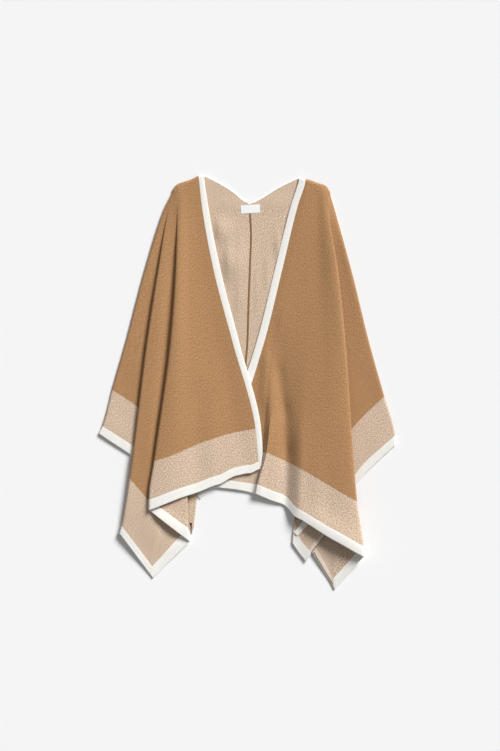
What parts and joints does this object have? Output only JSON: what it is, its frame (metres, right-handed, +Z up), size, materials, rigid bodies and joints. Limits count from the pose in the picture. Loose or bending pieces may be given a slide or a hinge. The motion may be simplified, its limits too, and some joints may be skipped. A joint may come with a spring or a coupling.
{
  "type": "open-front knit poncho",
  "caption": "Open-front knit poncho laid flat, its fronts folded in fan pleats over the back, with a V neck, contrast hem bands and pale edge trim.",
  "frame": {"origin": "centre of the bounding box on the surface that the garment lies on", "axes": "+X is the viewer's right in the picture, +Y runs from the hem to the neck and +Z is up from the surface"},
  "size_m": [0.7602, 1.0629, 0.0368],
  "materials": {
    "camel_knit": "matt brushed fine knit",
    "oatmeal_knit": "matt melange knit",
    "cream_trim": "matt fine rib edging",
    "brown_seam": "matt tape",
    "white_label": "smooth woven, blank"
  },
  "bodies": {
    "root": {"back_neck_trim": "cream_trim", "centre_back_seam": "brown_seam", "label": "white_label", "left_back": "oatmeal_knit", "left_back_hem_trim": "cream_trim", "left_front_band": "oatmeal_knit", "left_front_field": "camel_knit", "left_front_hem_trim": "cream_trim", "left_opening_trim": "cream_trim", "right_back": "oatmeal_knit", "right_back_corner": "oatmeal_knit", "right_back_corner_trim": "cream_trim", "right_front_band": "oatmeal_knit", "right_front_field": "camel_knit", "right_front_hem_trim": "cream_trim", "right_opening_trim": "cream_trim"}
  },
  "joints": []
}
